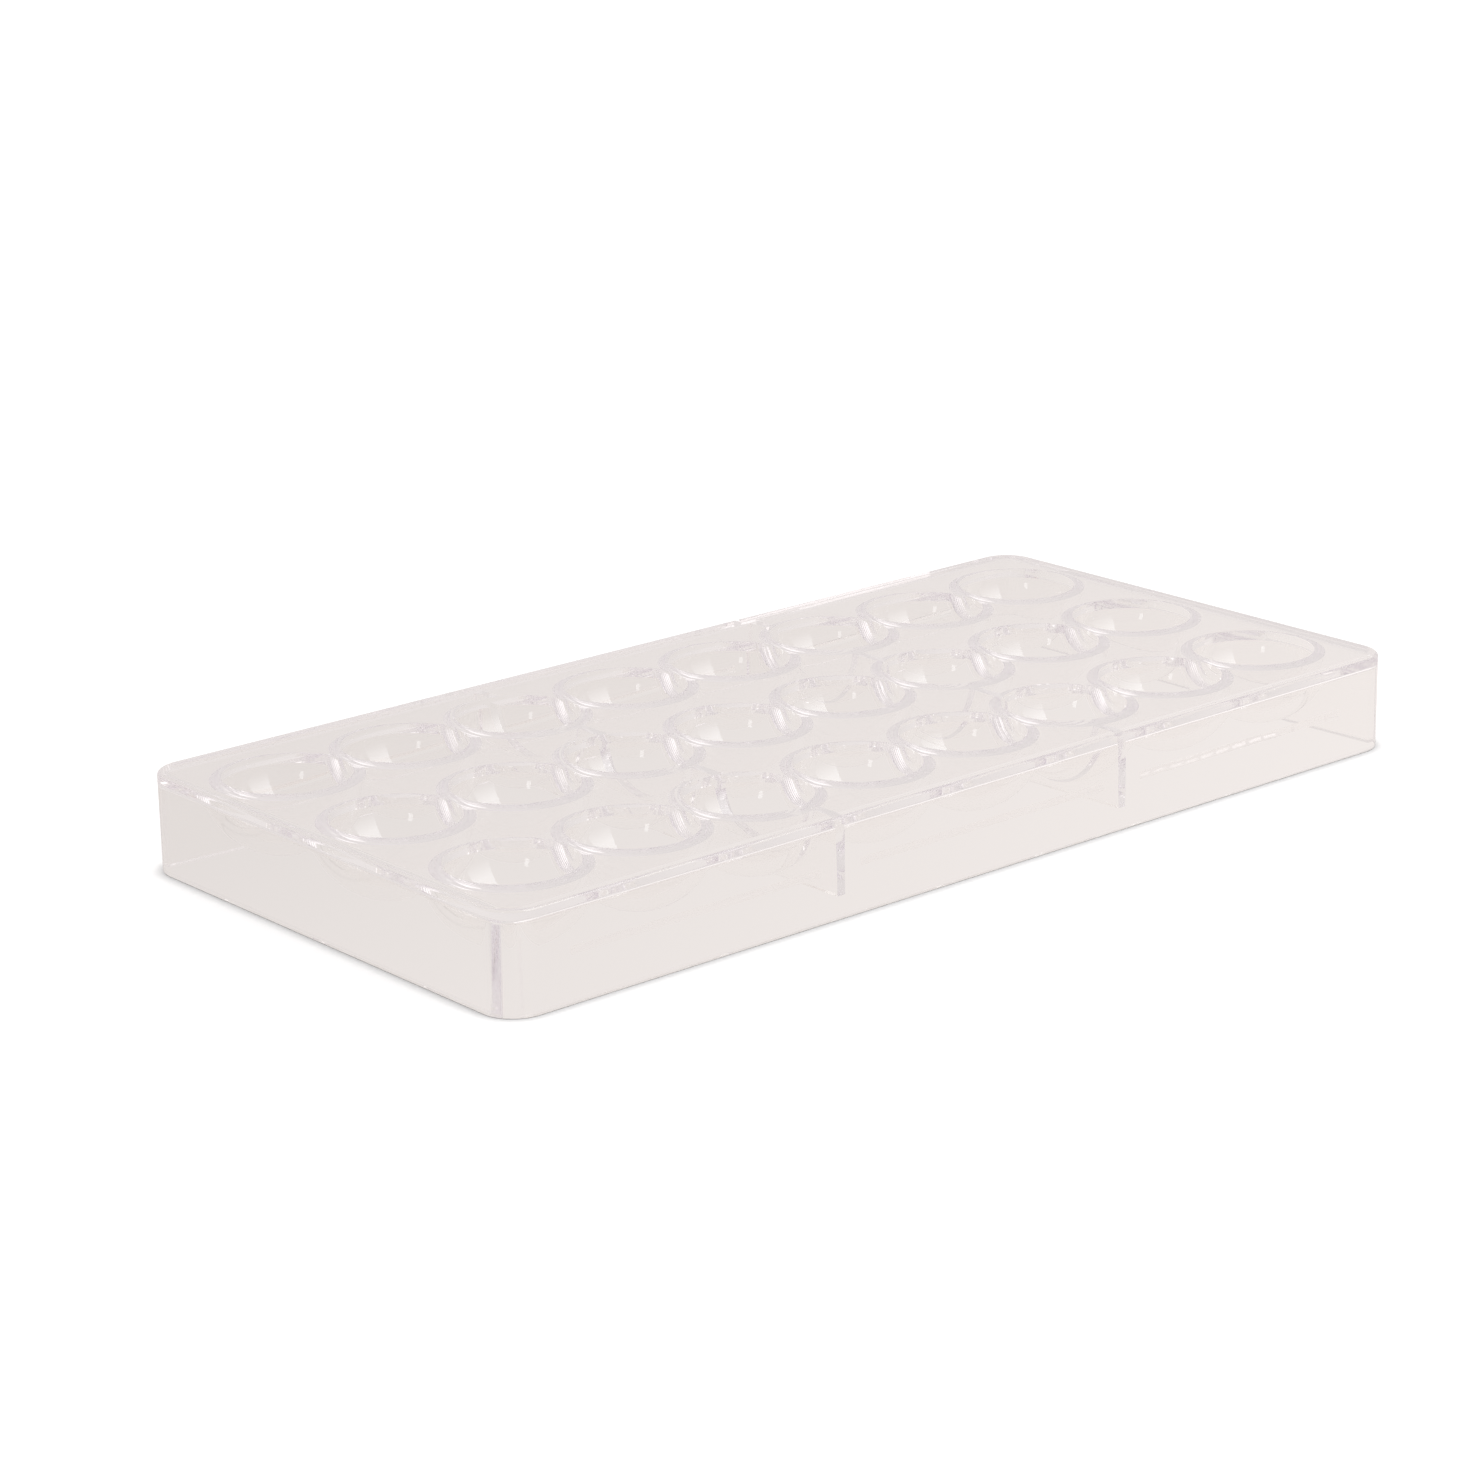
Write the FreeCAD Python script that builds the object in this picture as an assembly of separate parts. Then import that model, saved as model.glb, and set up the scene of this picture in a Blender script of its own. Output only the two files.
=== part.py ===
"""A clear chocolate mould: one injection moulding with 24 half-ball cavities.

The moulding is an open-bottomed tray turned upside down. A flat top plate carries three rows
of eight hemispherical cavities, each backed by a dome of even thickness. A skirt wall runs all
round, and two cross ribs tie the long walls together and brace the domes that they pass.

Frame: millimetres, +Z up, origin at the centre of the footprint on the surface that the skirt
stands on. X runs along the eight cavities of a row, Y across the three rows.
"""
import FreeCAD
import Part

import math
import os

# Outer tray
LENGTH = 275.0
WIDTH = 135.0
HEIGHT = 24.0
CORNER_RADIUS = 8.5
TOP_EDGE_RADIUS = 1.0
FOOT_EDGE_RADIUS = 0.4

# Skirt wall and top plate
WALL = 3.0
PLATE = 3.0
DRAFT_DEGREES = 0.8
INNER_CORNER_RADIUS = 2.5
INNER_EDGE_RADIUS = 1.0

# Shallow beads along the inside of both long walls, which hold the moulding on its core
BEAD_Z = 11.5
BEAD_RISE = 0.25
BEAD_RADIUS = 2.2
BEAD_SEAT = 0.6
BEAD_END_GAP = 18.0
BEAD_RIB_GAP = 6.0

# Cavities, in rows along X
CAVITY_COLUMNS = 8
CAVITY_ROWS = 3
COLUMN_PITCH = 33.0
ROW_PITCH = 41.5
CAVITY_RADIUS = 15.0
DOME_SHELL = 3.0

# Cross ribs, one beside each of these columns, set towards the middle of the tray
RIB_COLUMNS = (2, 5)
RIB_INSET = 5.5
RIB_ROOT = 2.7
RIB_EDGE = 2.2
RIB_GROUND_CLEARANCE = 5.0


def rounded_rectangle(length, width, radius, z):
    """A closed outline centred on the Z axis at height z: four straights and four arcs."""
    half_x = length / 2
    half_y = width / 2
    centres = [
        (half_x - radius, half_y - radius, 0),
        (radius - half_x, half_y - radius, 90),
        (radius - half_x, radius - half_y, 180),
        (half_x - radius, radius - half_y, 270),
    ]
    arcs = []
    for x, y, start in centres:
        centre = FreeCAD.Vector(x, y, z)
        circle = Part.Circle(centre, FreeCAD.Vector(0, 0, 1), radius)
        arcs.append(Part.Arc(circle, math.radians(start), math.radians(start + 90)).toShape())
    edges = []
    for arc, following in zip(arcs, arcs[1:] + arcs[:1]):
        edges.append(arc)
        edges.append(Part.makeLine(arc.lastVertex().Point, following.firstVertex().Point))
    return Part.Wire(edges)


def edges_at(shape, z):
    """The edges of a shape that lie flat at height z."""
    found = []
    for edge in shape.Edges:
        box = edge.BoundBox
        if abs(box.ZMin - z) < 1e-4 and abs(box.ZMax - z) < 1e-4:
            found.append(edge)
    return found


def column_x(column):
    """The X of a column of cavities, counted from the -X end."""
    return (column - (CAVITY_COLUMNS - 1) / 2) * COLUMN_PITCH


def row_y(row):
    """The Y of a row of cavities, counted from the front."""
    return (row - (CAVITY_ROWS - 1) / 2) * ROW_PITCH


def cavity_centres():
    """The centre of every cavity's sphere, which lies in the top face."""
    return [
        FreeCAD.Vector(column_x(column), row_y(row), HEIGHT)
        for row in range(CAVITY_ROWS)
        for column in range(CAVITY_COLUMNS)
    ]


def outer_block():
    """The tray's outside: upright walls, a rounded top edge and a lightly eased foot."""
    outline = rounded_rectangle(LENGTH, WIDTH, CORNER_RADIUS, 0)
    block = Part.Face(outline).extrude(FreeCAD.Vector(0, 0, HEIGHT))
    block = block.makeFillet(TOP_EDGE_RADIUS, edges_at(block, HEIGHT))
    return block.makeFillet(FOOT_EDGE_RADIUS, edges_at(block, 0))


def draft_spread(z):
    """How far the inner face has leaned outwards at height z, measured from the plate."""
    return (HEIGHT - PLATE - z) * math.tan(math.radians(DRAFT_DEGREES))


def inner_core():
    """The hollow under the plate, which widens towards the foot by the draft angle."""
    depth = HEIGHT - PLATE
    spread = draft_spread(0)
    inner_radius = max(INNER_CORNER_RADIUS, INNER_EDGE_RADIUS + spread)
    ceiling_length = LENGTH - 2 * WALL
    ceiling_width = WIDTH - 2 * WALL
    ceiling = rounded_rectangle(ceiling_length, ceiling_width, inner_radius, depth)
    mouth = rounded_rectangle(
        ceiling_length + 2 * spread, ceiling_width + 2 * spread, inner_radius + spread, 0
    )
    core = Part.makeLoft([mouth, ceiling], True, True)
    return core.makeFillet(INNER_EDGE_RADIUS, edges_at(core, depth))


def cross_rib(x):
    """One rib from long wall to long wall, thinning towards its lower edge."""
    buried = PLATE / 2
    root_z = HEIGHT - buried
    reach = WIDTH / 2 - WALL / 2
    section = Part.makePolygon([
        FreeCAD.Vector(x - RIB_ROOT / 2, -reach, root_z),
        FreeCAD.Vector(x + RIB_ROOT / 2, -reach, root_z),
        FreeCAD.Vector(x + RIB_EDGE / 2, -reach, RIB_GROUND_CLEARANCE),
        FreeCAD.Vector(x - RIB_EDGE / 2, -reach, RIB_GROUND_CLEARANCE),
        FreeCAD.Vector(x - RIB_ROOT / 2, -reach, root_z),
    ])
    return Part.Face(section).extrude(FreeCAD.Vector(0, 2 * reach, 0))


def rib_x(column):
    """The X of the rib that goes with a column of cavities, on the inner side of it."""
    x = column_x(column)
    towards_middle = -1 if x > 0 else 1
    return x + towards_middle * RIB_INSET


def cross_ribs():
    """Both ribs."""
    return [cross_rib(rib_x(column)) for column in RIB_COLUMNS]


def wall_bead(start_x, end_x, side):
    """One shallow bead on a long wall, the front one for side -1 and the back one for side 1."""
    inner_y = WIDTH / 2 - WALL + draft_spread(BEAD_Z)
    axis_y = inner_y - BEAD_RISE + BEAD_RADIUS
    start = FreeCAD.Vector(start_x, side * axis_y, BEAD_Z)
    bar = Part.makeCylinder(BEAD_RADIUS, end_x - start_x, start, FreeCAD.Vector(1, 0, 0))
    crest_y = inner_y - 2 * BEAD_RISE
    seat_y = inner_y + BEAD_SEAT
    slab_y = min(side * crest_y, side * seat_y)
    corner = FreeCAD.Vector(start_x, slab_y, BEAD_Z - BEAD_RADIUS)
    slab = Part.makeBox(end_x - start_x, seat_y - crest_y, 2 * BEAD_RADIUS, corner)
    return bar.common(slab)


def wall_beads():
    """Beads on both long walls, one in each bay between the short walls and the ribs."""
    ribs = sorted(rib_x(column) for column in RIB_COLUMNS)
    starts = [BEAD_END_GAP - LENGTH / 2] + [x + BEAD_RIB_GAP for x in ribs]
    ends = [x - BEAD_RIB_GAP for x in ribs] + [LENGTH / 2 - BEAD_END_GAP]
    return [
        wall_bead(start_x, end_x, side)
        for start_x, end_x in zip(starts, ends)
        for side in (-1, 1)
    ]


def lower_ball(centre, radius, top_z):
    """The part of a ball below a level."""
    axis = FreeCAD.Vector(0, 0, 1)
    latitude = math.degrees(math.asin(min((top_z - centre.z) / radius, 1.0)))
    return Part.makeSphere(radius, centre, axis, -90, latitude, 360)


def domes():
    """The backs of the cavities, which run into their neighbours along each row."""
    buried_z = HEIGHT - PLATE / 2
    radius = CAVITY_RADIUS + DOME_SHELL
    return [lower_ball(centre, radius, buried_z) for centre in cavity_centres()]


def cavities():
    """The half-ball hollows in the top face, one a piece of confectionery."""
    return [lower_ball(centre, CAVITY_RADIUS, HEIGHT) for centre in cavity_centres()]


def mould():
    """The whole moulding as one solid."""
    tray = outer_block().cut(inner_core())
    body = tray.fuse(cross_ribs() + wall_beads() + domes())
    body = body.cut(cavities())
    return body.removeSplitter()


def main():
    os.makedirs("parts", exist_ok=True)
    shape = mould()
    if len(shape.Solids) == 1:
        shape = shape.Solids[0]
    print("solids", len(shape.Solids), "faces", len(shape.Faces), "valid", shape.isValid())
    print("volume cm3", round(shape.Volume / 1000, 2))
    box = shape.BoundBox
    print("size mm", round(box.XLength, 3), round(box.YLength, 3), round(box.ZLength, 3))
    shape.exportStep("parts/mould.step")


main()
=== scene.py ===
# %% [markdown]
# # A clear chocolate mould
#
# The object is one injection moulding in clear polycarbonate. It is a shallow tray turned upside
# down, with 24 half-ball cavities sunk into its top plate. Nothing on it is coloured: all that the
# eye has to go by is how the walls bend, split and mirror the light around them. So this lesson
# spends its effort on three things. The first is an exact, closed mesh with true wall thickness,
# because a clear solid shows its inside faces as plainly as its outside ones. The second is one
# good plastic. The third is a pale studio that gives that plastic something to mirror.

# %% Load the frame
import math

import bmesh
import bpy
from mathutils import Matrix, Vector


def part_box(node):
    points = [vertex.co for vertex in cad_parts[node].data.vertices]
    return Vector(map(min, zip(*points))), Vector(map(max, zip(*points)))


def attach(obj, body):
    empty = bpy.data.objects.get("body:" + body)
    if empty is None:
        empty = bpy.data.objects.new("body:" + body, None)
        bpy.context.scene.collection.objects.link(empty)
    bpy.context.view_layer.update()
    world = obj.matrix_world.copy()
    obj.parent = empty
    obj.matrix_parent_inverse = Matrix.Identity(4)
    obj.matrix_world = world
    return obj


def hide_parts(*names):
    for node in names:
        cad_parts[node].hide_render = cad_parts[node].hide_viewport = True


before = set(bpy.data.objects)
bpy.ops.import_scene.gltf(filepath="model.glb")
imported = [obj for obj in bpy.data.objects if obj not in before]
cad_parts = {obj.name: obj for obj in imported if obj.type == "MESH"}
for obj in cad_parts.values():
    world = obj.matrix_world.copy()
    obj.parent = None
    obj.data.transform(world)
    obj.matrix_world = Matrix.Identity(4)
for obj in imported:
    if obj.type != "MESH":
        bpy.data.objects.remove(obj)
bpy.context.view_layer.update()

# %% [markdown]
# ## Sizes
#
# The outside size is read from the frame, so that the visible moulding fills the same box as the
# solid that it stands for. The sizes that a box can't tell, such as wall thickness and pitch, are
# named once here, in millimetres, because that is how a moulder would speak of them. One factor
# turns them into metres when a mesh is made.

# %% Name the sizes
MM = 0.001
low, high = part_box("mould")
LENGTH = (high.x - low.x) / MM
WIDTH = (high.y - low.y) / MM
HEIGHT = (high.z - low.z) / MM

CORNER_RADIUS = 8.5
TOP_EDGE_RADIUS = 1.0
FOOT_EDGE_RADIUS = 0.4
WALL = 3.0
PLATE = 3.0
DRAFT_DEGREES = 0.8
INNER_CORNER_RADIUS = 2.5
INNER_EDGE_RADIUS = 1.0

COLUMNS, ROWS = 8, 3
COLUMN_PITCH = 33.0
ROW_PITCH = 41.5
CAVITY_RADIUS = 15.0
DOME_RADIUS = CAVITY_RADIUS + 3.0

RIB_COLUMNS = (2, 5)
RIB_INSET = 5.5
RIB_ROOT = 2.7
RIB_EDGE = 2.2
RIB_GROUND_CLEARANCE = 5.0

BEAD_Z = 11.5
BEAD_RISE = 0.25
BEAD_RADIUS = 2.2
BEAD_SEAT = 0.6
BEAD_END_GAP = 18.0
BEAD_RIB_GAP = 6.0

print(f"the moulding is {LENGTH:.1f} x {WIDTH:.1f} x {HEIGHT:.1f} mm")

# %% [markdown]
# ## A small kit for closed shapes
#
# The tray, its hollow, the balls and the ribs are all stacks of rings: an outline drawn at several
# heights, joined by bands of faces and capped at both ends. One helper makes them all. A ring is a
# list of points, and every ring of a stack has the same number of them, so ring follows ring with
# no twist. The result is watertight, which the boolean steps later on depend on.

# %% Stack rings into a closed solid
def stack_of_rings(name, rings):
    """A closed mesh object from rings of points in millimetres, listed from the bottom up."""
    mesh = bmesh.new()
    layers = []
    for ring in rings:
        layers.append([mesh.verts.new(Vector(point) * MM) for point in ring])
    for lower, upper in zip(layers, layers[1:]):
        count = len(lower)
        for i in range(count):
            j = (i + 1) % count
            mesh.faces.new((lower[i], lower[j], upper[j], upper[i]))
    mesh.faces.new(reversed(layers[0]))
    mesh.faces.new(layers[-1])
    data = bpy.data.meshes.new(name)
    mesh.to_mesh(data)
    mesh.free()
    piece = bpy.data.objects.new(name, data)
    bpy.context.scene.collection.objects.link(piece)
    return piece


def rounded_rectangle(length, width, radius, z, steps=24):
    """The points of a rounded rectangle at height z, with the same count for every size."""
    ring = []
    for corner in range(4):
        sign_x = 1 if corner in (0, 3) else -1
        sign_y = 1 if corner in (0, 1) else -1
        centre_x = sign_x * (length / 2 - radius)
        centre_y = sign_y * (width / 2 - radius)
        for step in range(steps + 1):
            angle = math.radians(90 * (corner + step / steps))
            ring.append((centre_x + radius * math.cos(angle), centre_y + radius * math.sin(angle), z))
    return ring


print("one outline has", len(rounded_rectangle(LENGTH, WIDTH, CORNER_RADIUS, 0)), "points")

# %% [markdown]
# ## The tray
#
# The outside is upright, with a 1 mm round along the top edge. That round matters more than its
# size suggests: it is the bright line that runs all round the top in any picture of such a mould.
# The hollow inside leans outwards by less than a degree, so that the moulding slips off its core,
# and it has a small round under the plate. Each round is a few rings that follow a quarter circle.

# %% Make the outside and the hollow
FOOT_STEPS, TOP_STEPS, INNER_STEPS = 4, 8, 6
CUT_BELOW = 2.0


def quarter_round(radius, steps):
    """Pairs of how far in and how far up a quarter circle has come, from its upright end."""
    turns = [math.radians(90 * step / steps) for step in range(steps + 1)]
    return [(radius * (1 - math.cos(turn)), radius * math.sin(turn)) for turn in turns]


def inset_ring(length, width, radius, inset, z):
    return rounded_rectangle(length - 2 * inset, width - 2 * inset, radius - inset, z)


def tray_outside():
    rings = []
    for inset, rise in reversed(quarter_round(FOOT_EDGE_RADIUS, FOOT_STEPS)):
        z = FOOT_EDGE_RADIUS - rise
        rings.append(inset_ring(LENGTH, WIDTH, CORNER_RADIUS, inset, z))
    for inset, rise in quarter_round(TOP_EDGE_RADIUS, TOP_STEPS):
        z = HEIGHT - TOP_EDGE_RADIUS + rise
        rings.append(inset_ring(LENGTH, WIDTH, CORNER_RADIUS, inset, z))
    return stack_of_rings("tray", rings)


def tray_hollow():
    ceiling = HEIGHT - PLATE
    slope = math.tan(math.radians(DRAFT_DEGREES))
    length, width = LENGTH - 2 * WALL, WIDTH - 2 * WALL
    radius = INNER_CORNER_RADIUS
    rings = [inset_ring(length, width, radius, -slope * (ceiling + CUT_BELOW), -CUT_BELOW)]
    for inset, rise in quarter_round(INNER_EDGE_RADIUS, INNER_STEPS):
        z = ceiling - INNER_EDGE_RADIUS + rise
        rings.append(inset_ring(length, width, radius, inset - slope * (ceiling - z), z))
    return stack_of_rings("hollow", rings)


tray = tray_outside()
hollow = tray_hollow()
print("tray", len(tray.data.polygons), "faces; hollow", len(hollow.data.polygons), "faces")

# %% [markdown]
# ## Domes and cavities
#
# Each cavity is half a ball sunk into the top face, and each has a dome of even thickness behind
# it. A lower half ball is again a stack of rings, from a small ring near its pole up to its
# equator. Neighbouring domes of a row run into each other, because the pitch is less than a dome's
# width. That meeting line is a crisp crease on the real thing, so the domes overlap here too, and
# the boolean finds the crease. Columns are split into odd and even ones, so that no two balls of
# one operand touch: a boolean needs each of its shapes to be a clean solid.

# %% Make rings of a ball
NEAR_POLE_DEGREES = -89


def circle(x, y, z, radius, around):
    turns = [2 * math.pi * step / around for step in range(around)]
    return [(x + radius * math.cos(turn), y + radius * math.sin(turn), z) for turn in turns]


def lower_ball_rings(centre, radius, top, around=80, down=22):
    """Rings from the pole of a ball up to height top, which may lie above its equator."""
    x, y, z = centre
    last = math.asin(max(-1.0, min(0.0, (top - z) / radius)))
    first = math.radians(NEAR_POLE_DEGREES)
    rings = []
    for step in range(down + 1):
        latitude = first + (last - first) * step / down
        reach, height = radius * math.cos(latitude), z + radius * math.sin(latitude)
        rings.append(circle(x, y, height, reach, around))
    if top > z:
        rings.append(circle(x, y, top, radius, around))
    return rings


print("one ball has", len(lower_ball_rings((0, 0, 0), DOME_RADIUS, 0)), "rings")

# %% Make the balls
CUT_ABOVE = 2.0


def column_x(column):
    return (column - (COLUMNS - 1) / 2) * COLUMN_PITCH


def centres(columns):
    """The centres of the cavities in some columns, in every row."""
    ys = [(row - (ROWS - 1) / 2) * ROW_PITCH for row in range(ROWS)]
    return [(column_x(column), y, HEIGHT) for column in columns for y in ys]


def balls(name, columns, radius, top):
    """Separate lower half balls in one mesh object."""
    parts = [
        stack_of_rings(name, lower_ball_rings(centre, radius, top))
        for centre in centres(columns)
    ]
    mesh = bmesh.new()
    for part in parts:
        mesh.from_mesh(part.data)
        bpy.data.objects.remove(part)
    data = bpy.data.meshes.new(name)
    mesh.to_mesh(data)
    mesh.free()
    piece = bpy.data.objects.new(name, data)
    bpy.context.scene.collection.objects.link(piece)
    return piece


buried = HEIGHT - PLATE / 2
even_domes = balls("even_domes", range(0, COLUMNS, 2), DOME_RADIUS, buried)
odd_domes = balls("odd_domes", range(1, COLUMNS, 2), DOME_RADIUS, buried)
cavities = balls("cavities", range(COLUMNS), CAVITY_RADIUS, HEIGHT + CUT_ABOVE)
print("cavities:", len(centres(range(COLUMNS))), "with", len(cavities.data.polygons), "faces")

# %% [markdown]
# ## Cross ribs
#
# Two ribs run from one long wall to the other. They are thinner at their lower edge, again so that
# they leave the tool, and their ends are buried in the walls. Each one is a stack of two
# rectangles.

# %% Make the ribs
def rib_x(column):
    x = column_x(column)
    return x - math.copysign(RIB_INSET, x)


def cross_rib(x):
    reach = WIDTH / 2 - WALL / 2
    rings = []
    for thickness, z in ((RIB_EDGE, RIB_GROUND_CLEARANCE), (RIB_ROOT, buried)):
        half = thickness / 2
        rings.append([
            (x - half, -reach, z), (x + half, -reach, z), (x + half, reach, z), (x - half, reach, z)
        ])
    return stack_of_rings("rib", rings)


ribs = [cross_rib(rib_x(column)) for column in RIB_COLUMNS]
print("ribs at x =", [round(rib.data.vertices[0].co.x / MM + RIB_EDGE / 2, 1) for rib in ribs])

# %% [markdown]
# ## Beads inside the long walls
#
# A faint pair of lines runs along the long wall at half its height, and stops short of the ribs and
# the corners. It is a shallow bead on the inner face, a quarter of a millimetre high, that keeps
# the moulding on its core while the tool opens. The bead is an arc closed by a line that lies
# inside the wall. Seen through the wall it works as a long lens, so it shows far more than its
# height would suggest.

# %% Make the beads
def wall_bead(start_x, end_x, side, steps=12):
    draft = math.tan(math.radians(DRAFT_DEGREES))
    inner_y = WIDTH / 2 - WALL + (HEIGHT - PLATE - BEAD_Z) * draft
    axis_y = inner_y - BEAD_RISE + BEAD_RADIUS
    turn = math.acos((BEAD_RADIUS - BEAD_RISE - BEAD_SEAT) / BEAD_RADIUS)
    section = []
    for step in range(steps + 1):
        angle = turn * (2 * step / steps - 1)
        y = axis_y - BEAD_RADIUS * math.cos(angle)
        section.append((side * y, BEAD_Z + side * BEAD_RADIUS * math.sin(angle)))
    rings = [[(x, y, z) for y, z in section] for x in (start_x, end_x)]
    return stack_of_rings("bead", rings)


rib_places = sorted(rib_x(column) for column in RIB_COLUMNS)
bay_starts = [BEAD_END_GAP - LENGTH / 2] + [x + BEAD_RIB_GAP for x in rib_places]
bay_ends = [x - BEAD_RIB_GAP for x in rib_places] + [LENGTH / 2 - BEAD_END_GAP]
beads = [
    wall_bead(start, end, side) for start, end in zip(bay_starts, bay_ends) for side in (-1, 1)
]
print("beads:", len(beads), "from x =", bay_starts, "to", bay_ends)

# %% [markdown]
# ## One moulding out of the pieces
#
# Plastic flows into one tool, so there is no face inside the material: where a rib meets a dome,
# both are one body. Boolean unions take those inner faces away. That is worth the trouble on clear
# plastic, because a face left inside would catch light as a crack does. The hollow is cut from the
# tray, the domes and ribs are joined to it, and the cavities are cut last, through everything.

# %% Join and cut
def combine(base, other, operation):
    """Runs one boolean on base, keeps its result as the mesh of base and drops the other shape."""
    step = base.modifiers.new(operation.lower(), "BOOLEAN")
    step.operation = operation
    step.solver = "MANIFOLD"
    step.object = other
    evaluated = base.evaluated_get(bpy.context.evaluated_depsgraph_get())
    result = bpy.data.meshes.new_from_object(evaluated)
    base.modifiers.clear()
    base.data = result
    bpy.data.objects.remove(other)


combine(tray, hollow, "DIFFERENCE")
for joined in (even_domes, odd_domes, *ribs, *beads):
    combine(tray, joined, "UNION")
combine(tray, cavities, "DIFFERENCE")
mould = tray
mould.name = "clear_mould"
print("the moulding has", len(mould.data.polygons), "faces")

# %% [markdown]
# ## Smooth balls, flat plates
#
# Shading has to be smooth over the balls and the rounds, flat over the plate and the walls, and
# crisp where they meet. Edges that turn by more than 25 degrees are marked sharp. The Weighted
# Normal modifier then lets large faces decide: the wide flat ones keep their true direction right
# up to the small rounds beside them, so no false shade creeps over the plate.

# %% Shade it
SHARP_DEGREES = 25
LARGE_FACE_WEIGHT = 50

for polygon in mould.data.polygons:
    polygon.use_smooth = True
mould.data.set_sharp_from_angle(angle=math.radians(SHARP_DEGREES))
weighted = mould.modifiers.new("weighted_normals", "WEIGHTED_NORMAL")
weighted.mode = "FACE_AREA"
weighted.weight = LARGE_FACE_WEIGHT
weighted.keep_sharp = True
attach(mould, "root")
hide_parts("mould")
sharp = sum(edge.use_edge_sharp for edge in mould.data.edges)
print("sharp edges:", sharp, "of", len(mould.data.edges))

# %% [markdown]
# ## One good plastic
#
# Clear polycarbonate bends light more than glass does, with an index of 1.586. Light that crosses a
# wall loses a little, slightly more of the blue, and that is the base colour. Light that is caught
# between two faces and travels along a wall crosses centimetres of plastic. It comes out tinted by
# what the plastic absorbs, which is why the corners and the rims of the cavities are faintly
# violet. The tool is polished, so the faces have no haze. What they do have is two kinds of
# unevenness, both far too shallow to measure with a ruler. One is a slow waviness from cooling,
# a couple of centimetres from crest to crest. The other is a fine orange-peel of the polish.

# %% Name the unevenness
COOLING_WAVE, COOLING_HEIGHT, COOLING_DETAIL = 22.0 * MM, 0.06 * MM, 0.0
PEEL_WAVE, PEEL_HEIGHT, PEEL_DETAIL = 1.6 * MM, 0.0012 * MM, 1.0


def waviness(tree, place, size, height, detail):
    """A bump from noise whose lumps are about as wide as size and as high as height."""
    noise = tree.nodes.new("ShaderNodeTexNoise")
    noise.inputs["Scale"].default_value = 1 / size
    noise.inputs["Detail"].default_value = detail
    bump = tree.nodes.new("ShaderNodeBump")
    bump.inputs["Strength"].default_value = 1.0
    bump.inputs["Distance"].default_value = height
    tree.links.new(place.outputs["Object"], noise.inputs["Vector"])
    tree.links.new(noise.outputs["Fac"], bump.inputs["Height"])
    return bump


print("waves", COOLING_WAVE, "and", PEEL_WAVE, "m wide")

# %% Make the clear plastic
FACE_LOSS = (0.995, 0.99, 0.985, 1)
POLYCARBONATE_IOR = 1.586
GUIDED_TINT, GUIDED_LOSS = (0.85, 0.815, 0.88, 1), 3.0


def clear_plastic():
    material = bpy.data.materials.new("clear_polycarbonate")
    material.use_nodes = True
    tree = material.node_tree
    shader = tree.nodes["Principled BSDF"]
    shader.inputs["Base Color"].default_value = FACE_LOSS
    shader.inputs["Roughness"].default_value = 0.0
    shader.inputs["IOR"].default_value = POLYCARBONATE_IOR
    shader.inputs["Transmission Weight"].default_value = 1.0
    place = tree.nodes.new("ShaderNodeTexCoord")
    slow = waviness(tree, place, COOLING_WAVE, COOLING_HEIGHT, COOLING_DETAIL)
    fine = waviness(tree, place, PEEL_WAVE, PEEL_HEIGHT, PEEL_DETAIL)
    tree.links.new(slow.outputs["Normal"], fine.inputs["Normal"])
    tree.links.new(fine.outputs["Normal"], shader.inputs["Normal"])
    inside = tree.nodes.new("ShaderNodeVolumeAbsorption")
    inside.inputs["Color"].default_value = GUIDED_TINT
    inside.inputs["Density"].default_value = GUIDED_LOSS
    tree.links.new(inside.outputs["Volume"], tree.nodes["Material Output"].inputs["Volume"])
    return material


mould.data.materials.clear()
mould.data.materials.append(clear_plastic())
print("plastic nodes:", len(mould.data.materials[0].node_tree.nodes))

# %% [markdown]
# ## Helpers for the studio
#
# The studio has to show two faces. Straight from the camera it is plain white. To a ray that comes
# by way of the plastic it shows grey: the room's light, and a floor whose warm grey is partly its
# own tone and partly painted shade for the moulding's shadow. Blender's Light Path node tells the
# two apart, and one helper here picks a value by it. Another makes a tone that changes evenly
# along a line.

# %% Three helpers for nodes
def feed(tree, socket, value):
    """Joins an output to a socket, or sets a plain number or colour on it."""
    if isinstance(value, bpy.types.NodeSocket):
        tree.links.new(value, socket)
    else:
        socket.default_value = value


def calculated(tree, operation, first, second):
    node = tree.nodes.new("ShaderNodeMath")
    node.operation = operation
    feed(tree, node.inputs[0], first)
    feed(tree, node.inputs[1], second)
    return node.outputs[0]


def by_ray(tree, kind, otherwise, straight):
    """One value for rays that come straight from the camera, and another for all the rest."""
    path = tree.nodes.new("ShaderNodeLightPath")
    choice = tree.nodes.new("ShaderNodeMix")
    choice.data_type = kind
    tree.links.new(path.outputs["Is Camera Ray"], choice.inputs["Factor"])
    feed(tree, choice.inputs["A"], otherwise)
    feed(tree, choice.inputs["B"], straight)
    return choice.outputs["Result"]


print("helpers:", [helper.__name__ for helper in (feed, calculated, by_ray)])

# %% A value that changes along a line
def along(tree, coordinates, way, reach, values):
    """A value that runs from the first to the second over a reach, and stays level beyond it."""
    place = tree.nodes.new("ShaderNodeTexCoord")
    distance = tree.nodes.new("ShaderNodeVectorMath")
    distance.operation = "DOT_PRODUCT"
    distance.inputs[1].default_value = way
    tree.links.new(place.outputs[coordinates], distance.inputs[0])
    change = tree.nodes.new("ShaderNodeMapRange")
    for name, number in zip(("From Min", "From Max", "To Min", "To Max"), (*reach, *values)):
        change.inputs[name].default_value = number
    tree.links.new(distance.outputs["Value"], change.inputs["Value"])
    return change.outputs["Result"]


print("helper:", along.__name__)
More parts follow.
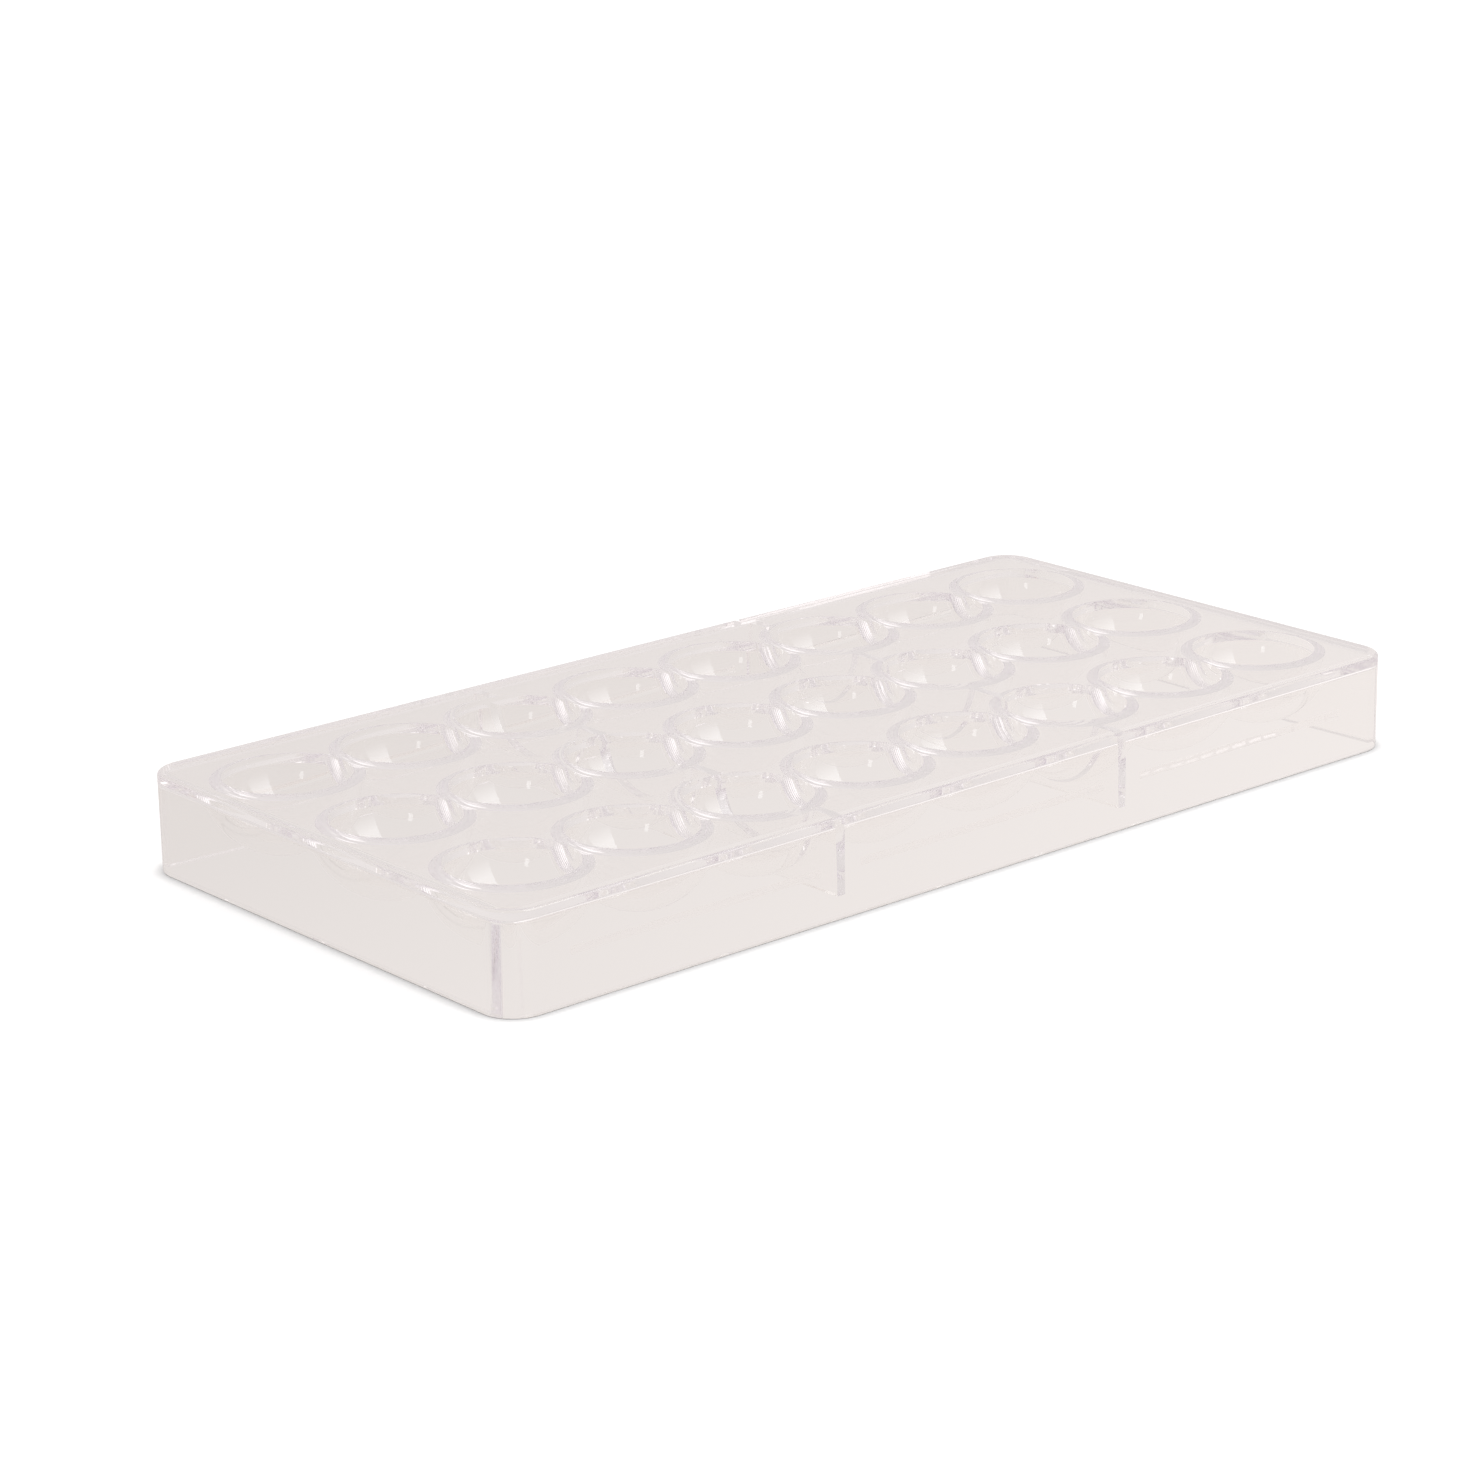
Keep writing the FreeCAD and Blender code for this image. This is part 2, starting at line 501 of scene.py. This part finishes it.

# %% [markdown]
# ## Floor
#
# The picture shows the mould on pure white, with a thin dark line at its foot and a short soft
# shadow beyond it. Seen straight, the floor gets there with two parts: a pale surface, which takes
# the light and the shadow of the lamps, and a glow, which carries it up to white. The glow fades
# within a few millimetres of the foot, because no light from around gets there. Seen by way of the
# plastic, the floor glows a warm grey, with no fading at the foot. That grey is partly the floor's
# own tone and partly painted shade for the moulding's shadow, and painted light makes it lighter
# towards the window.
# Light that is guided down inside a wall leaves it right there, and with the fade it would paint
# black lines all over the moulding. The floor lies a hair below the foot, so that the two faces
# never coincide.

# %% Paint the floor
BLACK, WHITE = (0, 0, 0, 1), (1, 1, 1, 1)
FLOOR_PALE, FLOOR_ROUGHNESS = (0.5, 0.5, 0.5, 1), 0.9
GLOW_STRAIGHT = (0.72, 0.72, 0.72, 1)
# Painted shade: through the plastic the floor glows a warm grey, partly its own tone and partly the
# moulding's shadow painted into the glow.
GREY_AND_PAINTED_SHADE_BY_WAY_OF_PLASTIC = (0.83, 0.785, 0.765, 1)
CONTACT_REACH = 3.0 * MM
WINDOW_WAY = Vector((0.45, -0.9, 0.0))
WINDOW_REACH = (-0.13, 0.16)
PAINTED_WINDOW_LIGHT_GAIN = (0.93, 1.10)


def floor_white():
    material = bpy.data.materials.new("floor_white")
    material.use_nodes = True
    tree = material.node_tree
    shader = tree.nodes["Principled BSDF"]
    shader.inputs["Roughness"].default_value = FLOOR_ROUGHNESS
    shader.inputs["Specular IOR Level"].default_value = 0.0
    path = tree.nodes.new("ShaderNodeLightPath").outputs
    looked_at = calculated(tree, "MAXIMUM", path["Is Camera Ray"], path["Is Glossy Ray"])
    looked_at = calculated(tree, "MAXIMUM", looked_at, path["Is Transmission Ray"])
    contact = tree.nodes.new("ShaderNodeAmbientOcclusion")
    contact.samples = 4
    contact.inputs["Distance"].default_value = CONTACT_REACH
    lit = calculated(tree, "MAXIMUM", contact.outputs["AO"], path["Is Transmission Ray"])
    # Painted light: seen through the plastic, the floor's glow is made brighter towards the key
    # window.
    painted_window_light = along(tree, "Object", WINDOW_WAY, WINDOW_REACH, PAINTED_WINDOW_LIGHT_GAIN)
    strength = calculated(tree, "MULTIPLY", looked_at, lit)
    strength = calculated(tree, "MULTIPLY", strength, by_ray(tree, "FLOAT", painted_window_light, 1.0))
    glow = by_ray(tree, "RGBA", GREY_AND_PAINTED_SHADE_BY_WAY_OF_PLASTIC, GLOW_STRAIGHT)
    feed(tree, shader.inputs["Base Color"], by_ray(tree, "RGBA", BLACK, FLOOR_PALE))
    feed(tree, shader.inputs["Emission Color"], glow)
    feed(tree, shader.inputs["Emission Strength"], strength)
    return material


print("floor nodes:", len(floor_white().node_tree.nodes))

# %% Lay the floor
FLOOR_HALF_WIDTH = 6.0
FLOOR_GAP = 0.02 * MM


def floor():
    corners = [
        (x * FLOOR_HALF_WIDTH, y * FLOOR_HALF_WIDTH, 0)
        for x, y in ((-1, -1), (1, -1), (1, 1), (-1, 1))
    ]
    data = bpy.data.meshes.new("floor")
    data.from_pydata(corners, [], [(0, 1, 2, 3)])
    data.materials.append(bpy.data.materials["floor_white"])
    piece = bpy.data.objects.new("floor", data)
    piece.location.z = -FLOOR_GAP
    bpy.context.scene.collection.objects.link(piece)
    return piece


floor()
print("floor laid", FLOOR_GAP, "m below the foot")

# %% [markdown]
# ## The room
#
# The moulding shows what stands around it, bent and mirrored a hundred times, so the room's tone is
# the moulding's tone. A room at full white would make it vanish against the white backdrop. This
# one is a warm pale grey, a little lighter beyond the right end than at the left. Only a ray that
# comes straight from the camera meets pure white.

# %% Paint the room
ROOM_TONE = (1.0, 0.948, 0.938, 1)
BRIGHT_SIDE = Vector((0.95, -0.1, -0.3))
ROOM_LEVELS = (0.74, 0.86)
ALL_ROUND = (-1.0, 1.0)


def studio_world():
    world = bpy.data.worlds.new("studio")
    bpy.context.scene.world = world
    world.use_nodes = True
    tree = world.node_tree
    background = tree.nodes["Background"]
    level = along(tree, "Generated", BRIGHT_SIDE, ALL_ROUND, ROOM_LEVELS)
    feed(tree, background.inputs["Color"], by_ray(tree, "RGBA", ROOM_TONE, WHITE))
    feed(tree, background.inputs["Strength"], by_ray(tree, "FLOAT", level, 1.0))


studio_world()
print("room tone", ROOM_TONE[:3], "at", ROOM_LEVELS)

# %% [markdown]
# ## Lamps
#
# Every cavity carries two highlights: a broad one on its left and a short thin one right of its
# middle. A cavity is a bowl, and each spot of a bowl mirrors one direction, so a highlight's
# outline tells where its lamp begins and ends. The broad one is a tall window of light in front of
# the long wall, 46 degrees wide, with its top 58 degrees above the table. The thin one is a narrow
# panel beyond the left end. Both stand upright, so their sides stay at one azimuth, which is why
# the broad highlight ends in a clean line on its right.
#
# The broad highlight is brightest at its lower end and fades towards the rim, because a soft box is
# dimmer at its foot. The lamp's own shader does that: the Parametric output gives the place on the
# panel, and the strength rises with its height. From behind, the flat plate mirrors the foot of the
# window up to four tenths strong, and without the fade it would be as white as the backdrop.
#
# A bowl keeps a twentieth of what it mirrors, so the window has to be strong. The same window also
# shines through the rims of the cavities, where nothing weakens it, and it would burn out there.
# So rays that come by way of the plastic meet a softer copy of it, with a dimmer panel to its right
# that draws the thin light lines along the near edges. A panel adds its light to the room behind
# it, so these two need little of their own.

# %% Make windows
WINDOW_DISTANCE = 1.4


def fade_in(data, share):
    """Lets a panel of light rise from nothing at its foot to full over a share of its height."""
    data.use_nodes = True
    tree = data.node_tree
    across = tree.nodes.new("ShaderNodeNewGeometry")
    parts = tree.nodes.new("ShaderNodeSeparateXYZ")
    tree.links.new(across.outputs["Parametric"], parts.inputs["Vector"])
    rise = tree.nodes.new("ShaderNodeMapRange")
    rise.inputs["From Max"].default_value = share
    tree.links.new(parts.outputs["Y"], rise.inputs["Value"])
    feed(tree, tree.nodes["Emission"].inputs["Strength"], rise.outputs["Result"])


def window(name, azimuth, heights, spread, radiance, tone, mirrored):
    """An upright panel of light that faces the mould.

    The heights are those of its foot, of where it is full and of its top, as angles from there.
    """
    foot, full, top = (WINDOW_DISTANCE * math.tan(math.radians(angle)) for angle in heights)
    width = 2 * WINDOW_DISTANCE * math.tan(math.radians(spread / 2))
    data = bpy.data.lights.new(name, "AREA")
    data.shape = "RECTANGLE"
    data.size = width
    data.size_y = top - foot
    data.energy = radiance * math.pi * width * (top - foot)
    data.color = tone
    fade_in(data, (full - foot) / (top - foot))
    lamp = bpy.data.objects.new(name, data)
    bpy.context.scene.collection.objects.link(lamp)
    aim = Vector((math.cos(math.radians(azimuth)), math.sin(math.radians(azimuth)), 0))
    lamp.location = aim * WINDOW_DISTANCE + Vector((0, 0, (foot + top) / 2))
    lamp.rotation_mode = "QUATERNION"
    lamp.rotation_quaternion = aim.to_track_quat("Z", "Y")
    lamp.visible_camera = False
    lamp.visible_glossy = mirrored
    lamp.visible_diffuse = mirrored
    lamp.visible_transmission = not mirrored


print("windows stand", WINDOW_DISTANCE, "m away")

# %% Place the lamps
COOL, ROSY = (0.94, 0.98, 1.0), (1.0, 0.955, 0.98)
KEY = {"azimuth": -68.3, "heights": (12, 36, 58), "spread": 46}
FILL = {"azimuth": -27.8, "heights": (9, 12, 58), "spread": 35}
STRIP = {"azimuth": -154.3, "heights": (13.5, 14, 26), "spread": 7}
window("key", **KEY, radiance=2.4, tone=COOL, mirrored=True)
window("key_by_way_of_plastic", **KEY, radiance=1.3, tone=ROSY, mirrored=False)
window("fill_by_way_of_plastic", **FILL, radiance=0.42, tone=ROSY, mirrored=False)
window("strip", **STRIP, radiance=2.2, tone=COOL, mirrored=True)
print("lamps:", sorted(lamp.name for lamp in bpy.data.lights))

# %% [markdown]
# ## Camera
#
# The camera stands where the photographer's stood: its place and turn come from fitting the eight
# corners of a 275 x 135 x 24 mm block to the corners in the picture.

# %% Set the camera
YAW, PITCH, ROLL = (math.radians(v) for v in (40.327, 17.386, -1.085))
CAMERA_PLACE = Vector((-0.60465, -0.68992, 0.30600))
LENS_MM, SENSOR_MM = 100.0, 36.0


def photo_camera():
    data = bpy.data.cameras.new("photo_camera")
    data.lens = LENS_MM
    data.sensor_width = SENSOR_MM
    camera = bpy.data.objects.new("photo_camera", data)
    bpy.context.scene.collection.objects.link(camera)
    forward = Vector((
        math.sin(YAW) * math.cos(PITCH), math.cos(YAW) * math.cos(PITCH), -math.sin(PITCH)
    ))
    level = Vector((math.cos(YAW), -math.sin(YAW), 0))
    upright = level.cross(forward)
    right = math.cos(ROLL) * level + math.sin(ROLL) * upright
    up = math.cos(ROLL) * upright - math.sin(ROLL) * level
    turn = Matrix((right, up, -forward)).transposed()
    camera.matrix_world = Matrix.Translation(CAMERA_PLACE) @ turn.to_4x4()
    bpy.context.scene.camera = camera


photo_camera()
bpy.context.scene.view_settings.view_transform = "Standard"
print("camera at", [round(v, 3) for v in CAMERA_PLACE])

# %% [markdown]
# ## Bounces
#
# A ray that is caught in a wall may be thrown to and fro dozens of times before it gets out. With
# the usual twelve bounces such rays end in the plastic, and black lines appear where the real thing
# is pale. So the limits go up.

# %% Allow enough bounces
cycles = bpy.context.scene.cycles
cycles.max_bounces = BOUNCES = 128
cycles.transmission_bounces = BOUNCES
cycles.glossy_bounces = BOUNCES
cycles.transparent_max_bounces = BOUNCES
print("bounces:", BOUNCES)

# %% Finish
bpy.context.view_layer.update()
